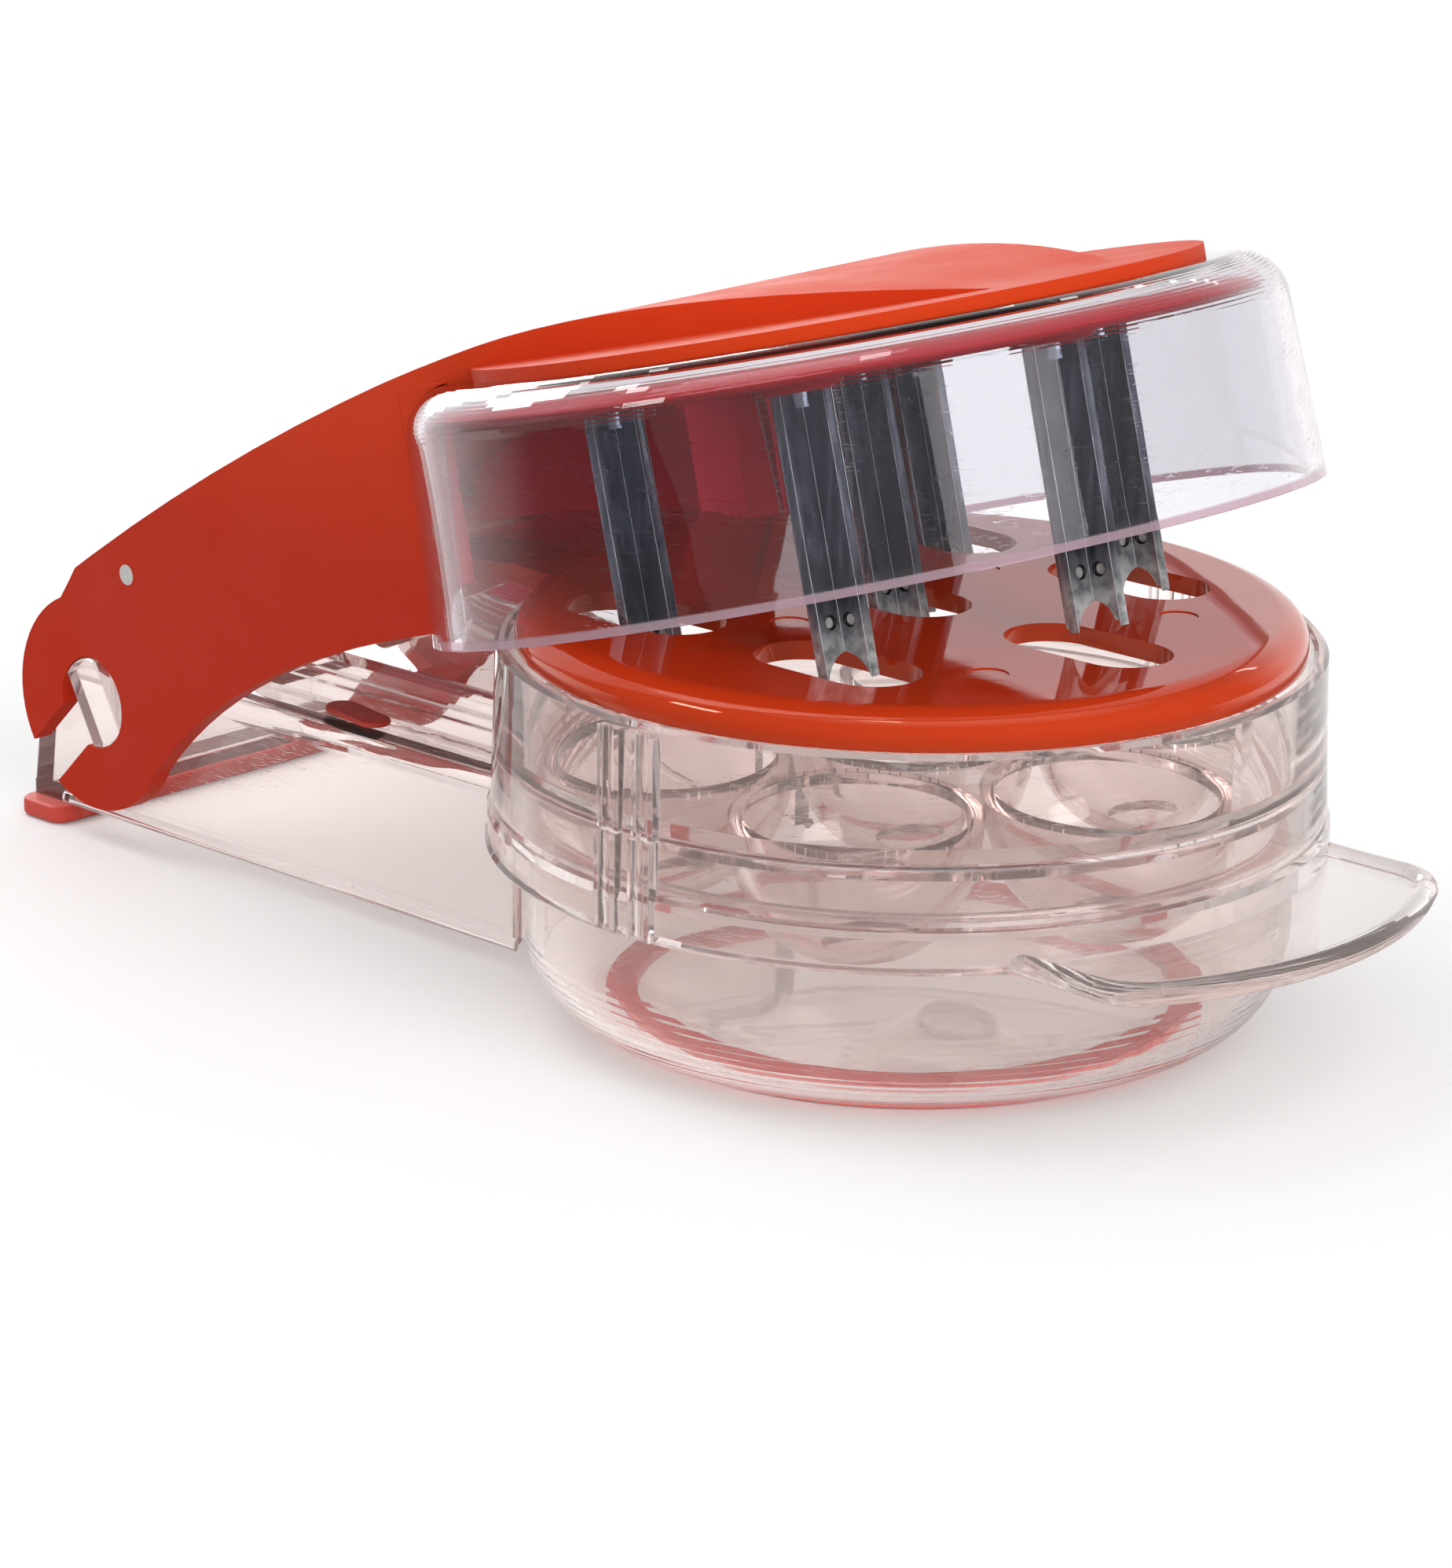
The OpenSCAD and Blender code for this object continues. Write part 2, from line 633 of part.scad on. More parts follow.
module lift_spring() color(pin_steel) placed() raised()
    translate([-hinge_reach + pin_from_hinge[0], 0, hinge_height + pin_from_hinge[1]])
        wire(spring_path(), spring_wire_r);

base_shell();
cherry_tray();
cherry_bowl(0);  // cherry_bowl_1
cherry_bowl(1);  // cherry_bowl_2
cherry_bowl(2);  // cherry_bowl_3
cherry_bowl(3);  // cherry_bowl_4
cherry_bowl(4);  // cherry_bowl_5
cherry_bowl(5);  // cherry_bowl_6
tail_foot();
stop_buttons();
pit_cup();
cup_foot_ring();
stripper_plate();
handle_arm();
lid_dome();
plunger_carrier();
plunger(0);  // plunger_1
plunger(1);  // plunger_2
plunger(2);  // plunger_3
plunger(3);  // plunger_4
plunger(4);  // plunger_5
plunger(5);  // plunger_6
steel_pin();
lift_spring();
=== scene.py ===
import json
import math

import bmesh
import bpy
from mathutils import Matrix, Vector


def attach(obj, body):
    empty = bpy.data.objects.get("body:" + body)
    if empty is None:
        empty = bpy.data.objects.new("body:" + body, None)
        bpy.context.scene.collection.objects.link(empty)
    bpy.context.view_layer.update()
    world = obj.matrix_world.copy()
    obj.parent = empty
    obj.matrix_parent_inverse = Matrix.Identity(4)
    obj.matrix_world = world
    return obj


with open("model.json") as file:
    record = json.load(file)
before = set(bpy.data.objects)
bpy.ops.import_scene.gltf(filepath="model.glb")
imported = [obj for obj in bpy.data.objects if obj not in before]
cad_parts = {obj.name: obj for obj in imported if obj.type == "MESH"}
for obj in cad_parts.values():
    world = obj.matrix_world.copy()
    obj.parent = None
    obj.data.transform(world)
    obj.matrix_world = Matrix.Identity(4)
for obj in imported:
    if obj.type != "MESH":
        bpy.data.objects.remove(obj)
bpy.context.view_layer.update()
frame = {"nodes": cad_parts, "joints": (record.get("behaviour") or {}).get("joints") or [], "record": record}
nodes = frame["nodes"]
print("frame loaded:", len(nodes), "nodes")


# places on the lifted handle

hinge = Vector(next(joint["pos_m"] for joint in frame["joints"] if joint["name"] == "press_hinge"))
liftDegrees = 14.3
ringCentre = 36.75  # the ring's axis, in mm along X
lidTilt = Matrix.Rotation(math.radians(-liftDegrees), 3, "Y")
lidUp = lidTilt @ Vector((0, 0, 1))
lidForward = lidTilt @ Vector((1, 0, 0))


def liftedPoint(x, y, z):
    # mm from the ring's axis with the lid level, to metres at rest
    level = Vector((x + ringCentre, y, z)) / 1000
    return hinge + lidTilt @ (level - hinge)


# small helpers for node trees

def newMaterial(name):
    material = bpy.data.materials.new(name)
    material.use_nodes = True
    tree = material.node_tree
    return material, tree, tree.nodes["Principled BSDF"]


def setSockets(shader, values):
    # what is the same all over the surface
    for name, value in values.items():
        shader.inputs[name].default_value = (*value, 1) if isinstance(value, tuple) else value


def addNode(tree, kind, **values):
    node = tree.nodes.new(kind)
    for key, value in values.items():
        setattr(node, key, value)
    return node


def objectPlace(tree):
    return addNode(tree, "ShaderNodeTexCoord").outputs["Object"]


def splitAxes(tree, vector):
    axes = addNode(tree, "ShaderNodeSeparateXYZ")
    tree.links.new(vector, axes.inputs[0])
    return axes.outputs


def noiseNode(tree, size, detail=3.0, stretch=(1, 1, 1), distortion=0.0):
    # noise whose largest feature is size metres across
    mapping = addNode(tree, "ShaderNodeMapping")
    mapping.inputs["Scale"].default_value = stretch
    noise = addNode(tree, "ShaderNodeTexNoise")
    noise.inputs["Scale"].default_value = 1 / size
    noise.inputs["Detail"].default_value = detail
    noise.inputs["Distortion"].default_value = distortion
    tree.links.new(objectPlace(tree), mapping.inputs["Vector"])
    tree.links.new(mapping.outputs["Vector"], noise.inputs["Vector"])
    return noise.outputs["Fac"]


def remap(tree, source, low, high, toLow, toHigh):
    node = addNode(tree, "ShaderNodeMapRange", clamp=True)
    for socket, value in zip(("From Min", "From Max", "To Min", "To Max"), (low, high, toLow, toHigh)):
        node.inputs[socket].default_value = value
    tree.links.new(source, node.inputs["Value"])
    return node.outputs["Result"]


def combine(tree, operation, first, second=None):
    # a sum of two sockets, of a socket and a number, or of one socket
    node = addNode(tree, "ShaderNodeMath", operation=operation)
    tree.links.new(first, node.inputs[0])
    if isinstance(second, bpy.types.NodeSocket):
        tree.links.new(second, node.inputs[1])
    elif second is not None:
        node.inputs[1].default_value = second
    return node.outputs[0]


def combineVector(tree, operation, first, second=None):
    node = addNode(tree, "ShaderNodeVectorMath", operation=operation)
    tree.links.new(first, node.inputs[0])
    if isinstance(second, bpy.types.NodeSocket):
        tree.links.new(second, node.inputs[1])
    elif second is not None:
        node.inputs[1].default_value = second
    return node.outputs["Value" if operation in ("DOT_PRODUCT", "LENGTH") else "Vector"]


def mixColour(tree, factor, colourA, colourB):
    node = addNode(tree, "ShaderNodeMix", data_type="RGBA")
    tree.links.new(factor, node.inputs["Factor"])
    for socket, colour in ((node.inputs[6], colourA), (node.inputs[7], colourB)):
        if isinstance(colour, bpy.types.NodeSocket):
            tree.links.new(colour, socket)
        else:
            socket.default_value = (*colour, 1)
    return node.outputs[2]


def bumpChain(tree, shader, layers):
    # layers: (height socket, distance in metres, strength)
    previous = None
    for height, distance, strength in layers:
        bump = addNode(tree, "ShaderNodeBump")
        bump.inputs["Distance"].default_value = distance
        bump.inputs["Strength"].default_value = strength
        tree.links.new(height, bump.inputs["Height"])
        if previous:
            tree.links.new(previous, bump.inputs["Normal"])
        previous = bump.outputs["Normal"]
    tree.links.new(previous, shader.inputs["Normal"])


def edgeMask(tree, radius, low, high):
    # 1 along convex and concave edges, 0 on open faces
    bevel = addNode(tree, "ShaderNodeBevel", samples=3)
    bevel.inputs["Radius"].default_value = radius
    geometry = addNode(tree, "ShaderNodeNewGeometry")
    likeness = combineVector(tree, "DOT_PRODUCT", bevel.outputs["Normal"], geometry.outputs["Normal"])
    return remap(tree, likeness, low, high, 1, 0)


def heightAbove(tree, point, lean):
    # metres above a plane through point, square to an up line that leans back by lean degrees
    up = Matrix.Rotation(math.radians(-lean), 3, "Y") @ Vector((0, 0, 1))
    along = combineVector(tree, "DOT_PRODUCT", objectPlace(tree), up)
    return combine(tree, "SUBTRACT", along, up.dot(point))


# clear plastic of base, tray and cup, and the smoky plastic of the lid

# edgeReflectionColour is a painted reflection: a lilac tone, less clear, along the plastic's edges and in a band at
# the lid's rim
clearPlastic = {
    "tint": (0.985, 0.942, 0.928), "body": 0.965,
    "edgeReflectionColour": (0.80, 0.72, 0.74), "edgeWidth": 0.0006,
    "haze": 0.012, "waveSize": 0.018,
    "depth": (0.84, 0.64, 0.58), "density": 20.0, "shadow": (0.84, 0.81, 0.805),
}
lidPlastic = {
    "tint": (0.79, 0.81, 0.84), "body": 1.0,
    "edgeReflectionColour": (0.60, 0.46, 0.52), "edgeWidth": 0.0005,
    "haze": 0.008, "waveSize": 0.025,
    "depth": (0.95, 0.30, 0.42), "density": 20.0, "shadow": (0.93, 0.91, 0.92),
    "rim": {"height": 27.9, "lean": 1.9, "deep": 0.0009, "fade": 0.0002},
}
clearSurface = {
    "ior": 1.46, "edgeBody": 0.70, "edgeRange": (0.75, 0.98),
    "hazeSize": 0.009, "hazeRange": (0.5, 0.8),
    "wave": (0.0001, 0.5),
    "scratchSize": 0.004, "scratchStretch": (1, 1, 9), "scratchTurn": 1.2,
    "scratchRange": (0.64, 0.68), "scratch": (0.00001, 0.25),
}


def letLightThrough(tree, shader, tint):
    # lamps reach what is behind the clear plastic
    path = addNode(tree, "ShaderNodeLightPath")
    clear = addNode(tree, "ShaderNodeBsdfTransparent")
    clear.inputs["Color"].default_value = (*tint, 1)
    choose = addNode(tree, "ShaderNodeMixShader")
    tree.links.new(path.outputs["Is Shadow Ray"], choose.inputs["Fac"])
    tree.links.new(shader.outputs["BSDF"], choose.inputs[1])
    tree.links.new(clear.outputs["BSDF"], choose.inputs[2])
    tree.links.new(choose.outputs["Shader"], tree.nodes["Material Output"].inputs["Surface"])


def deepenEdges(tree, settings):
    # long ways through the plastic take on its own colour
    depth = addNode(tree, "ShaderNodeVolumeAbsorption")
    depth.inputs["Color"].default_value = (*settings["depth"], 1)
    depth.inputs["Density"].default_value = settings["density"]
    tree.links.new(depth.outputs["Volume"], tree.nodes["Material Output"].inputs["Volume"])


def makeClearPlastic(name, settings):
    surface = clearSurface
    material, tree, shader = newMaterial(name)
    setSockets(shader, {"IOR": surface["ior"]})
    letLightThrough(tree, shader, settings["shadow"])
    deepenEdges(tree, settings)
    # painted reflection: edges, and the band at the lid's rim, are painted a lilac tone and made less clear
    edge = edgeMask(tree, settings["edgeWidth"], *surface["edgeRange"])
    if "rim" in settings:
        rim = settings["rim"]
        height = heightAbove(tree, liftedPoint(0, 0, rim["height"]), liftDegrees + rim["lean"])
        band = remap(tree, height, rim["deep"], rim["deep"] + rim["fade"], 1, 0)
        edge = combine(tree, "MAXIMUM", edge, band)
    tree.links.new(mixColour(tree, edge, settings["tint"], settings["edgeReflectionColour"]), shader.inputs["Base Color"])
    clearness = remap(tree, edge, 0, 1, settings["body"], surface["edgeBody"])
    tree.links.new(clearness, shader.inputs["Transmission Weight"])
    haze = remap(tree, noiseNode(tree, surface["hazeSize"], 4), *surface["hazeRange"], 0, settings["haze"])
    tree.links.new(haze, shader.inputs["Roughness"])
    ripple = noiseNode(tree, settings["waveSize"], 1.5)
    hairlines = noiseNode(tree, surface["scratchSize"], 2, surface["scratchStretch"], surface["scratchTurn"])
    scratch = remap(tree, hairlines, *surface["scratchRange"], 0, 1)
    bumpChain(tree, shader, [(ripple, *surface["wave"]), (scratch, *surface["scratch"])])
    return material


# matte orange of the handle, with painted light and shade, and a darker crimson copy of it for the carrier as
# painted shade

matteOrange = {
    # low and high are the painted shade and painted light colours, from the bottom to the top of the height range
    "low": (0.440, 0.024, 0.008), "high": (0.660, 0.054, 0.012), "from": 0.050, "to": 0.095,
    "gloss": (1.0, 0.30, 0.15), "specular": 0.16, "grain": 0.00045, "roughness": 0.55,
    # inside is the painted shade colour of the inner walls, a bright crimson
    "inside": (0.820, 0.030, 0.070),
}
# painted shade: the carrier is a darker crimson copy of the matte orange, as it looks in the shade under the lid
carrierShadedOrange = {
    "low": (0.340, 0.008, 0.016), "high": (0.380, 0.010, 0.016), "from": 0.060, "to": 0.100,
    "gloss": (1.0, 0.30, 0.25), "specular": 0.15, "grain": 0.0006, "roughness": 0.4,
}
matteSurface = {
    "cloudSize": 0.03, "cloudLevels": (0.3, 0.7, 0.85, 1),
    "rubSize": 0.012, "rubRange": (0.3, 0.7), "smoother": 0.05, "rougher": 0.08, "relief": (0.00012, 0.35),
}
# where the painted crimson shade goes on the inner walls: the half width from the hinge to the lid and where the
# crimson starts, in metres; the top is in mm
handleInsidePaintedShade = {
    "halfWidth": (-0.0925, -0.0190, 0.0280, 0.0324), "blur": 0.0002,
    "start": (-0.082, -0.070), "top": 58.7, "topFade": 0.0005, "slope": (0.35, 0.55),
}


def insidePaintedShadeMask(tree, axes, inside):
    # 1 on the upright walls inside the handle, next to the lid, which get a painted crimson shade
    halfWidth = remap(tree, axes["X"], *inside["halfWidth"])
    room = combine(tree, "SUBTRACT", halfWidth, combine(tree, "ABSOLUTE", axes["Y"]))
    within = remap(tree, room, -inside["blur"], inside["blur"], 0, 1)
    forward = remap(tree, axes["X"], *inside["start"], 0, 1)
    height = heightAbove(tree, liftedPoint(0, 0, inside["top"]), liftDegrees)
    below = remap(tree, height, -inside["topFade"], 0, 1, 0)
    facing = splitAxes(tree, addNode(tree, "ShaderNodeTexCoord").outputs["Normal"])
    upright = remap(tree, combine(tree, "ABSOLUTE", facing["Z"]), *inside["slope"], 1, 0)
    place = combine(tree, "MULTIPLY", within, forward)
    return combine(tree, "MULTIPLY", place, combine(tree, "MULTIPLY", below, upright))


def makeMatteOrange(name, settings):
    surface = matteSurface
    material, tree, shader = newMaterial(name)
    setSockets(shader, {"Specular Tint": settings["gloss"], "Specular IOR Level": settings["specular"]})
    # painted light: the colour is painted paler towards the top and darker lower down, with a random cloudy tone
    axes = splitAxes(tree, objectPlace(tree))
    height = remap(tree, axes["Z"], settings["from"], settings["to"], 0, 1)
    cloud = remap(tree, noiseNode(tree, surface["cloudSize"], 4), *surface["cloudLevels"])
    colour = mixColour(tree, combine(tree, "MULTIPLY", height, cloud), settings["low"], settings["high"])
    # painted shade: the upright inner walls under the roof are painted a bright crimson, the colour they take in the
    # shade under the lid
    if "inside" in settings:
        colour = mixColour(tree, insidePaintedShadeMask(tree, axes, handleInsidePaintedShade), colour, settings["inside"])
    tree.links.new(colour, shader.inputs["Base Color"])
    rubbed = remap(tree, noiseNode(tree, surface["rubSize"], 3), *surface["rubRange"],
                   settings["roughness"] - surface["smoother"], settings["roughness"] + surface["rougher"])
    tree.links.new(rubbed, shader.inputs["Roughness"])
    bumpChain(tree, shader, [(noiseNode(tree, settings["grain"], 2), *surface["relief"])])
    return material


# gloss orange of the stripper plate

glossOrange = {
    "colour": (0.550, 0.044, 0.009), "deep": (0.480, 0.036, 0.007), "cloudSize": 0.02,
    "filmSize": 0.006, "filmLevels": (0.4, 0.75, 0.03, 0.09),
    "sinkSize": 0.022, "sink": (0.0003, 0.5), "peelSize": 0.0025, "peel": (0.00001, 0.4),
    "fixed": {"Specular Tint": (1.0, 0.56, 0.38), "Specular IOR Level": 0.85,
              "Coat Weight": 0.32, "Coat Roughness": 0.02, "Coat IOR": 1.43},
}


def makeGlossOrange(name, settings):
    material, tree, shader = newMaterial(name)
    setSockets(shader, settings["fixed"])
    colour = mixColour(tree, noiseNode(tree, settings["cloudSize"], 2), settings["colour"], settings["deep"])
    tree.links.new(colour, shader.inputs["Base Color"])
    film = remap(tree, noiseNode(tree, settings["filmSize"], 3), *settings["filmLevels"])
    tree.links.new(film, shader.inputs["Roughness"])
    sink = noiseNode(tree, settings["sinkSize"], 1)
    peel = noiseNode(tree, settings["peelSize"], 1)
    bumpChain(tree, shader, [(sink, *settings["sink"]), (peel, *settings["peel"])])
    return material


# soft red of the tail's foot and buttons, and a brighter copy of it on the cup's foot ring, painted light for the
# ring in the shade under the clear plastic

softRed = {"colour": (0.56, 0.050, 0.030), "roughness": 0.55}
ringPaintedLightRed = {"colour": (0.86, 0.090, 0.070), "roughness": 0.5}
softSurface = {
    "dust": (0.62, 0.20, 0.16), "dustSize": 0.004, "dustLevels": (0.5, 0.8, 0, 0.35),
    "grainSize": 0.0006, "grain": (0.00015, 0.4),
}


def makeSoftRed(name, settings):
    surface = softSurface
    material, tree, shader = newMaterial(name)
    setSockets(shader, {"Roughness": settings["roughness"]})
    dust = remap(tree, noiseNode(tree, surface["dustSize"], 4), *surface["dustLevels"])
    tree.links.new(mixColour(tree, dust, settings["colour"], surface["dust"]), shader.inputs["Base Color"])
    bumpChain(tree, shader, [(noiseNode(tree, surface["grainSize"], 3), *surface["grain"])])
    return material


# steel of the plungers

darkSteel = {
    "face": (0.105, 0.115, 0.150), "streak": (0.240, 0.255, 0.300), "streakSize": 0.0010,
    "streakStretch": (1, 1, 0.02), "streakRange": (0.40, 0.62), "relief": (0.00002, 0.3),
    "tip": (0.56, 0.58, 0.57), "tipHeight": 17, "tipReach": (0.003, 0.010),
    "tipMottleSize": 0.0018, "tipMottleLevels": (0.35, 0.6, 0.45, 1), "metallic": (0.92, 0.45),
    "smearSize": 0.006, "smearLevels": (0.3, 0.7, 0.20, 0.30),
}
# where the plungers stand, in mm and degrees
plungerPlaces = {"pitch": 32.5, "lead": 1.9, "turn": 60, "first": 4}
# the ring of dimples round each tip, its height in mm and the rest in metres; each dimple's floor is a painted
# highlight and the dark ring round it painted shade
dimple = {
    "height": 24.2, "fromAxis": 0.00245, "radius": 0.00085, "floorShare": (0.75, 0.90), "rimShare": 1.25,
    "floor": (0.74, 0.75, 0.73), "rim": (0.02, 0.02, 0.02),
}


def plungerAxis(number, height):
    # plunger 1 stands in the middle and the others round it
    places = plungerPlaces
    turn = math.radians(places["turn"] * (number - places["first"]))
    pitch = places["pitch"] if number > 1 else 0
    return liftedPoint(pitch * math.cos(turn) + places["lead"], pitch * math.sin(turn), height)


def dimplePaintedLightMasks(tree, number):
    # the dimples of one plunger lie on a ring round its axis
    centre = plungerAxis(number, dimple["height"])
    away = combineVector(tree, "SUBTRACT", objectPlace(tree), centre)
    fromAxis = combineVector(tree, "LENGTH", combineVector(tree, "CROSS_PRODUCT", away, lidUp))
    aside = combine(tree, "SUBTRACT", fromAxis, dimple["fromAxis"])
    height = heightAbove(tree, centre, liftDegrees)
    squares = [combine(tree, "MULTIPLY", length, length) for length in (aside, height)]
    reach = combine(tree, "SQRT", combine(tree, "ADD", *squares))
    floorEdge = [dimple["radius"] * share for share in dimple["floorShare"]]
    inside = remap(tree, reach, *floorEdge, 1, 0)
    whole = remap(tree, reach, dimple["radius"], dimple["radius"] * dimple["rimShare"], 1, 0)
    return inside, combine(tree, "SUBTRACT", whole, inside)


def makeDarkSteel(name, settings, number):
    material, tree, shader = newMaterial(name)
    streak = noiseNode(tree, settings["streakSize"], 2, settings["streakStretch"])
    streaks = remap(tree, streak, *settings["streakRange"], 0, 1)
    steel = mixColour(tree, streaks, settings["face"], settings["streak"])
    # painted highlight: the ends are painted a pale, less metallic grey, mottled by noise, for the bright shine they
    # show
    height = heightAbove(tree, liftedPoint(0, 0, settings["tipHeight"]), liftDegrees)
    tipMottle = remap(tree, noiseNode(tree, settings["tipMottleSize"], 3), *settings["tipMottleLevels"])
    rubbed = combine(tree, "MULTIPLY", remap(tree, height, *settings["tipReach"], 1, 0), tipMottle)
    steel = mixColour(tree, rubbed, steel, settings["tip"])
    # painted highlight on the dimples' floors and painted shade round their rims
    inside, rim = dimplePaintedLightMasks(tree, number)
    steel = mixColour(tree, rim, mixColour(tree, inside, steel, dimple["floor"]), dimple["rim"])
    tree.links.new(steel, shader.inputs["Base Color"])
    tree.links.new(remap(tree, rubbed, 0, 1, *settings["metallic"]), shader.inputs["Metallic"])
    smear = remap(tree, noiseNode(tree, settings["smearSize"], 3), *settings["smearLevels"])
    tree.links.new(smear, shader.inputs["Roughness"])
    bumpChain(tree, shader, [(streak, *settings["relief"])])
    return material


# a pale painted highlight on the bevelled faces along the plungers' fins, streaked by noise
finEdgeHighlight = {
    "dull": (0.52, 0.53, 0.58), "bright": (0.86, 0.87, 0.90), "edgeStreakSize": 0.0015,
    "edgeStreakStretch": (1, 1, 0.2), "edgeStreakRange": (0.35, 0.65), "relief": (0.00002, 0.4),
    "fixed": {"Metallic": 0.2, "Roughness": 0.35},
}


def makeFinEdgeHighlight(name, settings):
    material, tree, shader = newMaterial(name)
    setSockets(shader, settings["fixed"])
    edgeStreaks = noiseNode(tree, settings["edgeStreakSize"], 3, settings["edgeStreakStretch"])
    bright = remap(tree, edgeStreaks, *settings["edgeStreakRange"], 0, 1)
    tree.links.new(mixColour(tree, bright, settings["dull"], settings["bright"]), shader.inputs["Base Color"])
    bumpChain(tree, shader, [(edgeStreaks, *settings["relief"])])
    return material


# bright steel of pin and spring

pinSteel = {"colour": (0.78, 0.77, 0.75), "roughness": 0.25, "stretch": (1, 0.1, 1)}
springSteel = {"colour": (0.55, 0.55, 0.56), "roughness": 0.3, "stretch": (1, 1, 1)}
turnedSurface = {"size": 0.0008, "darker": 0.8, "range": (0.3, 0.7), "shares": (0.8, 1.3), "relief": (0.00002, 0.5)}


def makeBrightSteel(name, settings):
    surface = turnedSurface
    material, tree, shader = newMaterial(name)
    setSockets(shader, {"Metallic": 1})
    turning = noiseNode(tree, surface["size"], 3, settings["stretch"])
    darker = tuple(value * surface["darker"] for value in settings["colour"])
    tree.links.new(mixColour(tree, turning, settings["colour"], darker), shader.inputs["Base Color"])
    levels = [settings["roughness"] * share for share in surface["shares"]]
    tree.links.new(remap(tree, turning, *surface["range"], *levels), shader.inputs["Roughness"])
    bumpChain(tree, shader, [(turning, *surface["relief"])])
    return material


materials = {
    "clear_plastic": makeClearPlastic("clearPlastic", clearPlastic),
    "matte_orange": makeMatteOrange("matteOrange", matteOrange),
    "gloss_orange": makeGlossOrange("glossOrange", glossOrange),
    "carrier_orange": makeMatteOrange("carrierShadedOrange", carrierShadedOrange),
    "soft_red": makeSoftRed("softRed", softRed),
    "dark_steel": makeDarkSteel("darkSteel1", darkSteel, 1),
    "pin_steel": makeBrightSteel("pinSteel", pinSteel),
    "spring_steel": makeBrightSteel("springSteel", springSteel),
}
finEdgeHighlights = makeFinEdgeHighlight("finEdgeHighlight", finEdgeHighlight)
ownMaterials = {
    "lid_dome": makeClearPlastic("lidPlastic", lidPlastic),
    "cup_foot_ring": makeSoftRed("ringPaintedLightRed", ringPaintedLightRed),
    **{f"plunger_{number}": makeDarkSteel(f"darkSteel{number}", darkSteel, number) for number in range(2, 7)},
}
slots = {part["node"]: part["material_slot"] for part in frame["record"]["subparts"]}
for name, slot in slots.items():
    nodes[name].data.materials.clear()
    nodes[name].data.materials.append(ownMaterials.get(name, materials[slot]))
print("materials on", len(slots), "nodes")


# soft edges and smooth shading, radii in metres

plainEdges = {"stripper_plate": 0.0006, "tail_foot": 0.0006, "stop_buttons": 0.0003, "plunger_carrier": 0.0003}
softening = {"merge": 0.000002, "flat": 0.6, "sharp": 35, "keyScale": 200000, "even": 60}
handleEdges = {
    "radius": 0.0020, "segments": 4, "plain": 0.35, "padRim": 0.65, "topSlope": 0.25, "sideSlope": 0.75,
    "facing": 0.97, "upright": 0.2, "padCentre": 60.5, "padRadius": 0.047, "padReach": 0.0008, "endHalfWidth": 0.031,
}
plungerEdges = {"radius": 0.00030, "segments": 2, "shortest": 0.002}
padCentre = liftedPoint(0, 0, handleEdges["padCentre"])


def handleWeight(edge):
    # the outer rims of the side plates are rounder than the other edges
    settings = handleEdges
    middle = (edge.verts[0].co + edge.verts[1].co) / 2
    rises = sorted(face.normal.dot(lidUp) for face in edge.link_faces)
    if rises[0] < -settings["facing"]:
        return 0  # the pad's foot lies flat on the lid
    ahead = max(face.normal.dot(lidForward) for face in edge.link_faces)
    if abs(middle.y) > settings["endHalfWidth"] and ahead > settings["facing"]:
        return 0  # the side plates' ends lie against the lid
    onRim = abs((middle - padCentre).length - settings["padRadius"]) < settings["padReach"]
    if rises[1] > settings["facing"] and abs(rises[0]) < settings["upright"] and onRim:
        return settings["padRim"]
    outward = [face.normal.y * math.copysign(1, middle.y) for face in edge.link_faces]
    upward = [face.normal.z for face in edge.link_faces]
    side = max(range(2), key=lambda i: outward[i])
    outer = outward[side] > settings["sideSlope"] and upward[1 - side] > settings["topSlope"]
    return 1 if outer else settings["plain"]


def plungerWeight(edge):
    return 1 if edge.calc_length() > plungerEdges["shortest"] else 0


def weighEdges(piece, weight):
    # each sharp edge gets its share of the radius, and stays crisp where that is 0
    mesh = bmesh.new()
    mesh.from_mesh(piece.data)
    bmesh.ops.remove_doubles(mesh, verts=mesh.verts, dist=softening["merge"])
    where = lambda a, b: tuple(round(v * softening["keyScale"]) for v in a + b)
    chosen = {}
    for edge in mesh.edges:
        if len(edge.link_faces) == 2 and edge.calc_face_angle(0) > math.radians(softening["sharp"]):
            chosen[where(edge.verts[0].co, edge.verts[1].co)] = weight(edge)
    mesh.free()
    points = piece.data.vertices
    ends = (edge.vertices for edge in piece.data.edges)
    values = [chosen.get(where(points[a].co, points[b].co), -1.0) for a, b in ends]
    shares = piece.data.attributes.new("bevel_weight_edge", "FLOAT", "EDGE")
    shares.data.foreach_set("value", [max(0.0, value) for value in values])
    crisp = piece.data.attributes.get("sharp_edge") or piece.data.attributes.new("sharp_edge", "BOOLEAN", "EDGE")
    crisp.data.foreach_set("value", [value == 0 for value in values])


def softenEdges(piece, radius, weight=None, segments=3):
    # faces are joined and flats made whole first, so that each edge is one edge
    joined = piece.modifiers.new("joined", "WELD")
    joined.merge_threshold = softening["merge"]
    flats = piece.modifiers.new("wholeFlats", "DECIMATE")
    flats.decimate_type = "DISSOLVE"
    flats.angle_limit = math.radians(softening["flat"])
    bevel = piece.modifiers.new("edgeRound", "BEVEL")
    bevel.width = radius
    bevel.segments = segments
    bevel.angle_limit = math.radians(softening["sharp"])
    bevel.limit_method = "WEIGHT" if weight else "ANGLE"
    bevel.use_clamp_overlap = True
    if weight:
        weighEdges(piece, weight)
    return bevel


def smoothFaces(mesh):
    mesh.polygons.foreach_set("use_smooth", [True] * len(mesh.polygons))


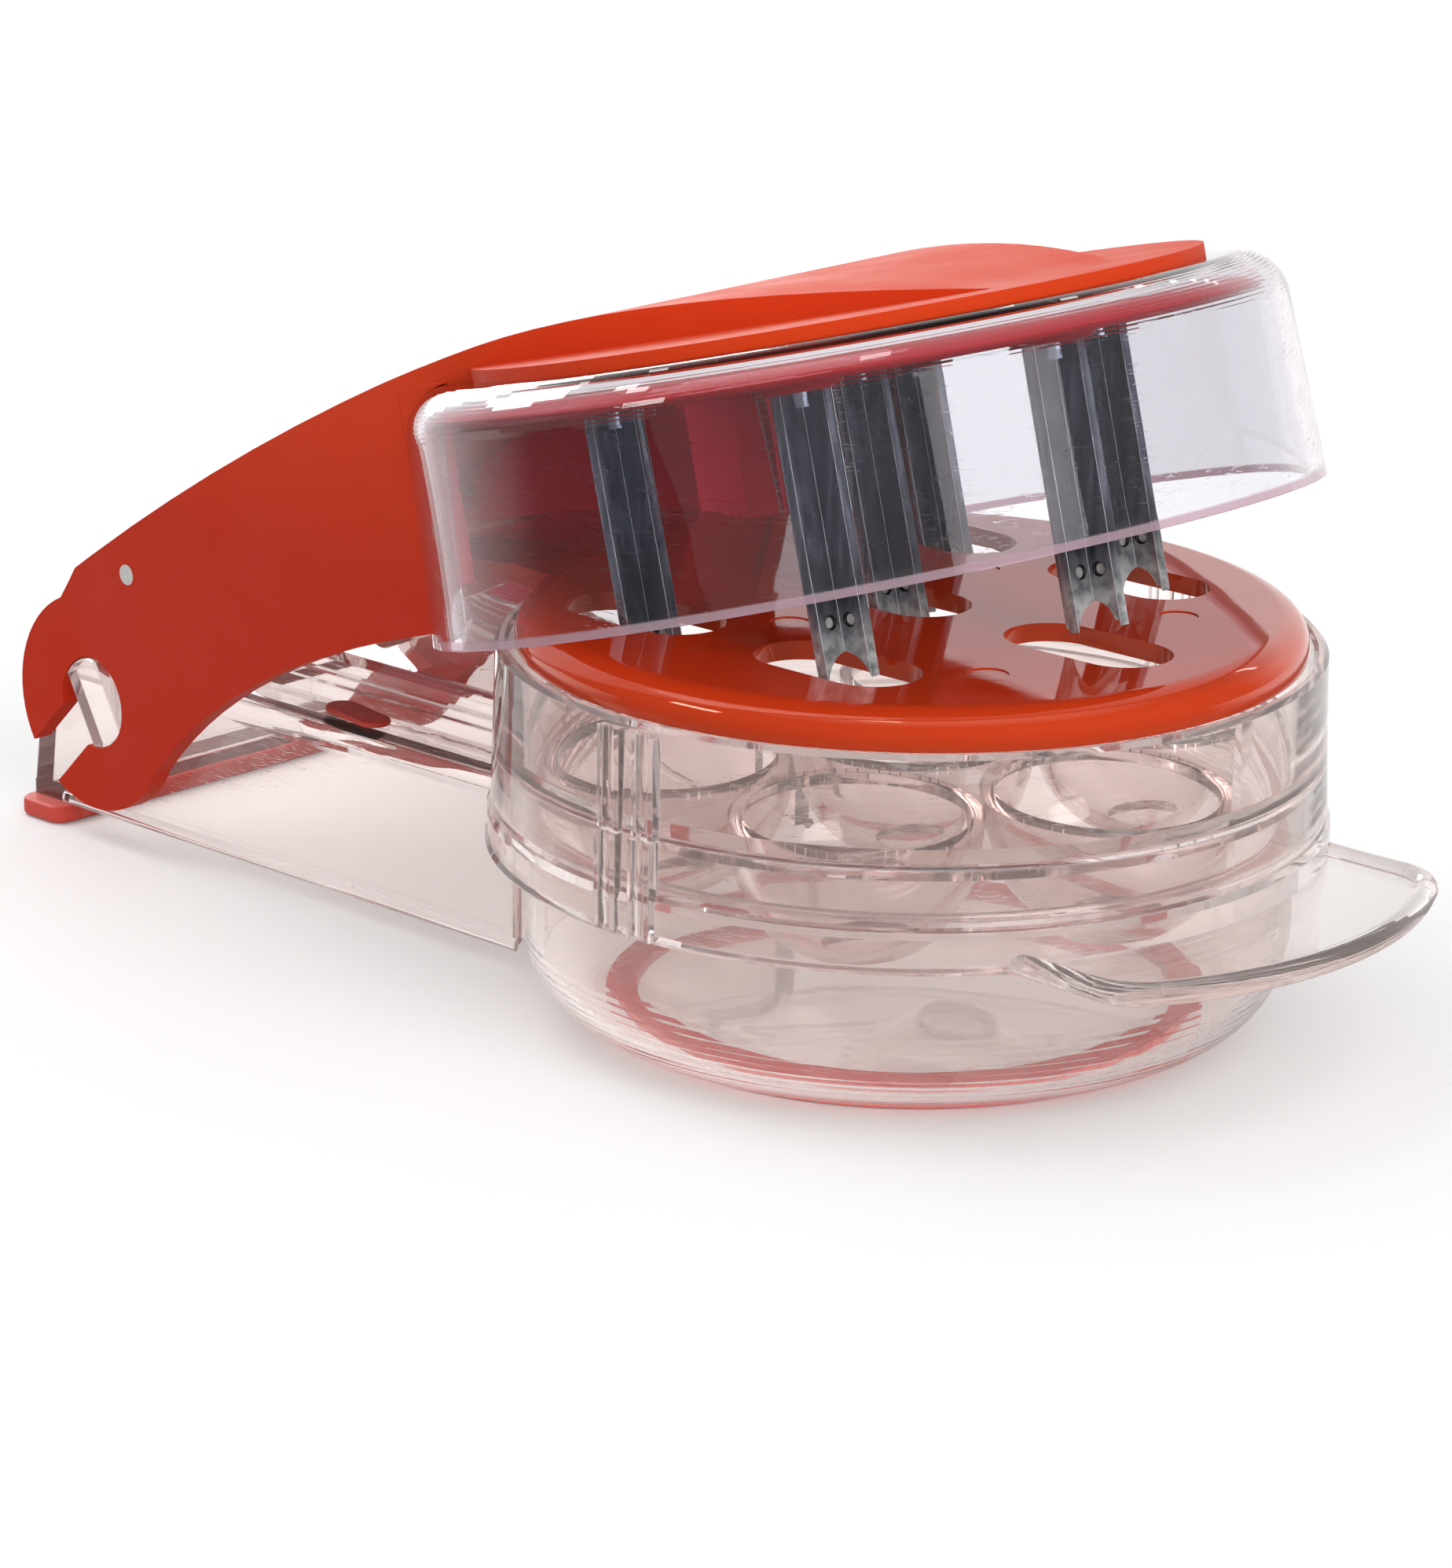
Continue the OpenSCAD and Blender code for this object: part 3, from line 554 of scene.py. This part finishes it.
for name, piece in nodes.items():
    smoothFaces(piece.data)
    if name in plainEdges:
        softenEdges(piece, plainEdges[name])
    elif name == "handle_arm":
        softenEdges(piece, handleEdges["radius"], handleWeight, handleEdges["segments"])
    elif name.startswith("plunger_"):
        # the fins' long edges are bevelled and get a pale painted highlight
        piece.data.materials.append(finEdgeHighlights)
        softenEdges(piece, plungerEdges["radius"], plungerWeight, plungerEdges["segments"]).material = 1
    else:
        continue
    even = piece.modifiers.new("evenShading", "WEIGHTED_NORMAL")
    even.keep_sharp = True
    even.weight = softening["even"]
print("edges softened")


# the lid's outside and the carrier's rim under it, in mm round the lid's axis

lid = {"foot": 58, "footHeight": 24.9, "taper": 0.0471, "shoulderRadius": 50.3, "shoulderHeight": 52.5,
       "shoulderBend": 6.4, "shoulderFrom": 52.9}
carrierSkirt = {"flatFrom": 45.6, "bend": 4.05, "wall": 1.0, "highest": 90, "lowest": 30, "turnStep": 6,
                "halfTurn": 143, "steps": 120}


def makePiece(name, mesh, slot):
    # a new piece of the handle's body from its faces
    bmesh.ops.recalc_face_normals(mesh, faces=mesh.faces)
    data = bpy.data.meshes.new(name)
    mesh.to_mesh(data)
    mesh.free()
    smoothFaces(data)
    piece = bpy.data.objects.new(name, data)
    bpy.context.scene.collection.objects.link(piece)
    data.materials.append(materials[slot])
    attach(piece, "handle")
    return piece


def loftRows(mesh, rows):
    # a closed skin through rows of points
    for first, second in zip(rows, rows[1:]):
        for i in range(len(first)):
            j = (i + 1) % len(first)
            mesh.faces.new((first[i], first[j], second[j], second[i]))
    mesh.faces.new(rows[0])
    mesh.faces.new(rows[-1][::-1])


def makeCarrierSkirt(settings):
    # a flat lip that turns down along the inside of the lid's shoulder
    middle = lid["shoulderHeight"]
    outer, inner = settings["bend"], settings["bend"] - settings["wall"]
    turns = [math.radians(a) for a in range(settings["highest"], settings["lowest"] - 1, -settings["turnStep"])]
    arc, back = [[(lid["shoulderRadius"] + bend * math.cos(a), middle + bend * math.sin(a)) for a in turns]
                 for bend in (outer, inner)]
    back.reverse()
    profile = [(settings["flatFrom"], middle + outer)] + arc + back + [(settings["flatFrom"], middle + inner)]
    mesh = bmesh.new()
    rows = []
    for step in range(settings["steps"] + 1):
        turn = math.radians(settings["halfTurn"] * (2 * step / settings["steps"] - 1))
        rows.append([mesh.verts.new(liftedPoint(r * math.cos(turn), r * math.sin(turn), z)) for r, z in profile])
    loftRows(mesh, rows)
    skirt = makePiece("carrierSkirt", mesh, "carrier_orange")
    skirt.modifiers.new("evenShading", "WEIGHTED_NORMAL")


makeCarrierSkirt(carrierSkirt)
print("carrier rim made")


# the side plates' front edges follow the lid, so that no gap shows beside its shoulder

sideCheek = {"from": -46.6, "outside": 34.75, "inside": 31.9, "bottom": 51.0, "top": 59.2, "gap": 0.15,
             "least": 0.2, "steps": 16, "edge": 0.0003}


def lidRadius(z):
    if z < lid["shoulderFrom"]:
        return lid["foot"] - (z - lid["footHeight"]) * lid["taper"]
    rise = z - lid["shoulderHeight"]
    return lid["shoulderRadius"] + math.sqrt(max(0, lid["shoulderBend"] ** 2 - rise ** 2))


def makeSideCheek(name, settings, side):
    mesh = bmesh.new()
    rows = []
    for step in range(settings["steps"] + 1):
        z = settings["bottom"] + (settings["top"] - settings["bottom"]) * step / settings["steps"]
        outY, inY = settings["outside"], settings["inside"]
        frontOut, frontIn = (-math.sqrt(lidRadius(z) ** 2 - y ** 2) - settings["gap"] for y in (outY, inY))
        frontIn = max(frontIn, settings["from"] + settings["least"])
        row = [(settings["from"], outY), (frontOut, outY), (frontIn, inY), (settings["from"], inY)]
        rows.append([mesh.verts.new(liftedPoint(x, side * y, z)) for x, y in row])
    loftRows(mesh, rows)
    cheek = makePiece(name, mesh, "matte_orange")
    softenEdges(cheek, settings["edge"])
    cheek.modifiers.new("evenShading", "WEIGHTED_NORMAL")


makeSideCheek("sideCheekLeft", sideCheek, -1)
makeSideCheek("sideCheekRight", sideCheek, 1)
print("side cheeks made")


# floor and room

studio = {
    "floorSize": 12, "floorDrop": 0.0002, "floorColour": 0.78, "floorLift": 0.12, "throughLift": 0.18,
    "floorRoughness": 0.9, "floorSpecular": 0.1, "tableReach": (0.06, 0.11), "aside": (-0.05, 0.10),
    "roomDark": 0.12, "worldDiffuse": 0.74, "away": (-0.682, 0.731, 0.0),
    "low": (0.36, 0.62), "facing": (0.35, 0.7), "above": (0.75, 0.95),
}


def lightPath(tree, *names):
    # 1 for any of the named kinds of ray
    path = addNode(tree, "ShaderNodeLightPath")
    total = path.outputs[names[0]]
    for name in names[1:]:
        total = combine(tree, "MAXIMUM", total, path.outputs[name])
    return total


def alongAway(tree, vector):
    return combineVector(tree, "DOT_PRODUCT", vector, studio["away"])


def makeFloor():
    bpy.ops.mesh.primitive_plane_add(size=studio["floorSize"], location=(0, 0, -studio["floorDrop"]))
    floor = bpy.context.object
    floor.name = "studioFloor"
    material, tree, shader = newMaterial("paleFloor")
    setSockets(shader, {"Emission Color": (1.0, 1.0, 1.0), "Roughness": studio["floorRoughness"],
                        "Specular IOR Level": studio["floorSpecular"]})
    # reflections see the white table and what lies behind it, and a dark room at the sides
    place = objectPlace(tree)
    beyond = remap(tree, combineVector(tree, "LENGTH", place), *studio["tableReach"], 0, 1)
    aside = remap(tree, alongAway(tree, place), *studio["aside"], 1, 0)
    dark = combine(tree, "MULTIPLY", combine(tree, "MULTIPLY", beyond, aside), lightPath(tree, "Is Glossy Ray"))
    white, shade = ((studio[level],) * 3 for level in ("floorColour", "roomDark"))
    tree.links.new(mixColour(tree, dark, white, shade), shader.inputs["Base Color"])
    seen = combine(tree, "SUBTRACT", lightPath(tree, "Is Camera Ray", "Is Glossy Ray"), dark)
    plain = remap(tree, seen, 0, 1, 0, studio["floorLift"])
    through = remap(tree, lightPath(tree, "Is Transmission Ray"), 0, 1, 0, studio["throughLift"])
    tree.links.new(combine(tree, "ADD", plain, through), shader.inputs["Emission Strength"])
    floor.data.materials.append(material)


def makeWorld():
    world = bpy.data.worlds.new("studioWorld")
    bpy.context.scene.world = world
    world.use_nodes = True
    tree = world.node_tree
    background = tree.nodes["Background"]
    direction = addNode(tree, "ShaderNodeTexCoord").outputs["Generated"]
    height = splitAxes(tree, direction)["Z"]
    low = remap(tree, height, *studio["low"], 1, 0)
    facing = remap(tree, alongAway(tree, direction), *studio["facing"], 0, 1)
    behind = remap(tree, combine(tree, "MULTIPLY", low, facing), 0, 1, studio["roomDark"], 1)
    room = combine(tree, "MAXIMUM", behind, remap(tree, height, *studio["above"], 0, 1))
    # gloss sees the room, and the camera sees white
    lit = addNode(tree, "ShaderNodeMix", data_type="FLOAT")
    lit.inputs["A"].default_value = studio["worldDiffuse"]
    tree.links.new(lightPath(tree, "Is Glossy Ray"), lit.inputs["Factor"])
    tree.links.new(room, lit.inputs["B"])
    shown = addNode(tree, "ShaderNodeMix", data_type="FLOAT")
    shown.inputs["B"].default_value = 1
    tree.links.new(lightPath(tree, "Is Camera Ray", "Is Transmission Ray"), shown.inputs["Factor"])
    tree.links.new(lit.outputs["Result"], shown.inputs["A"])
    tree.links.new(shown.outputs["Result"], background.inputs["Strength"])
    background.inputs["Color"].default_value = (1, 1, 1, 1)


makeFloor()
makeWorld()


# lamps: two broad suns, and softboxes that only gloss sees, as direction, size in metres and strength

suns = {"overheadLight": ((-0.35, -0.2, 1.0), 0.9), "frontLight": ((0.85, -0.17, 0.36), 1.7)}
sunAngle = 40
softboxes = {
    "leftSoftbox": ((-0.88, -0.04, 0.48), (0.35, 0.22), 14.0),
    "backLeftSoftbox": ((-0.85, 0.50, 0.20), (0.50, 0.30), 3.5),
    "frontSoftbox": ((-0.37, -0.77, 0.52), (0.20, 0.07), 12.0),
    "highSoftbox": ((-0.60, -0.33, 0.73), (0.18, 0.05), 12.0),
    "topSoftbox": ((0.12, -0.29, 0.95), (0.14, 0.05), 9.0),
    "backStrip": ((-0.55, 0.60, 0.62), (1.10, 0.02), 4.0),
}
softboxDistance = 0.8
softboxTarget = (0.03, 0.0, 0.06)


def addLamp(name, kind, place, target):
    light = bpy.data.lights.new(name, kind)
    lamp = bpy.data.objects.new(name, light)
    bpy.context.scene.collection.objects.link(lamp)
    lamp.location = place
    lamp.rotation_euler = (Vector(target) - lamp.location).to_track_quat("-Z", "Y").to_euler()
    return lamp, light


def makeSun(name, direction, strength):
    lamp, light = addLamp(name, "SUN", direction, (0, 0, 0))
    light.energy = strength
    light.angle = math.radians(sunAngle)
    lamp.visible_glossy = False


def makeSoftbox(name, towards, size, strength):
    place = Vector(softboxTarget) + Vector(towards).normalized() * softboxDistance
    lamp, light = addLamp(name, "AREA", place, softboxTarget)
    light.shape = "RECTANGLE"
    light.size, light.size_y = size
    light.energy = strength * math.pi * size[0] * size[1]
    lamp.visible_diffuse = False
    lamp.visible_transmission = False


for name, values in suns.items():
    makeSun(name, *values)
for name, values in softboxes.items():
    makeSoftbox(name, *values)


# camera, and how far light is followed through the clear walls

view = {"azimuth": 43.0, "elevation": 17.384, "roll": 0.614, "location": (0.44195, -0.46880, 0.22331),
        "focal": 115.88, "sensor": 36, "near": 0.01}
bounces = {"max_bounces": 20, "transmission_bounces": 20, "glossy_bounces": 10}


def makeCamera():
    data = bpy.data.cameras.new("mainCamera")
    data.lens = view["focal"]
    data.sensor_width = view["sensor"]
    data.clip_start = view["near"]
    cameraObject = bpy.data.objects.new("mainCamera", data)
    bpy.context.scene.collection.objects.link(cameraObject)
    turn = Matrix.Rotation(math.radians(view["azimuth"]), 4, "Z")
    tilt = Matrix.Rotation(math.radians(90 - view["elevation"]), 4, "X")
    roll = Matrix.Rotation(math.radians(view["roll"]), 4, "Z")
    cameraObject.matrix_world = Matrix.Translation(view["location"]) @ turn @ tilt @ roll
    bpy.context.scene.camera = cameraObject


makeCamera()
bpy.context.scene.view_settings.view_transform = "Standard"
for name, count in bounces.items():
    setattr(bpy.context.scene.cycles, name, count)
print("studio ready")
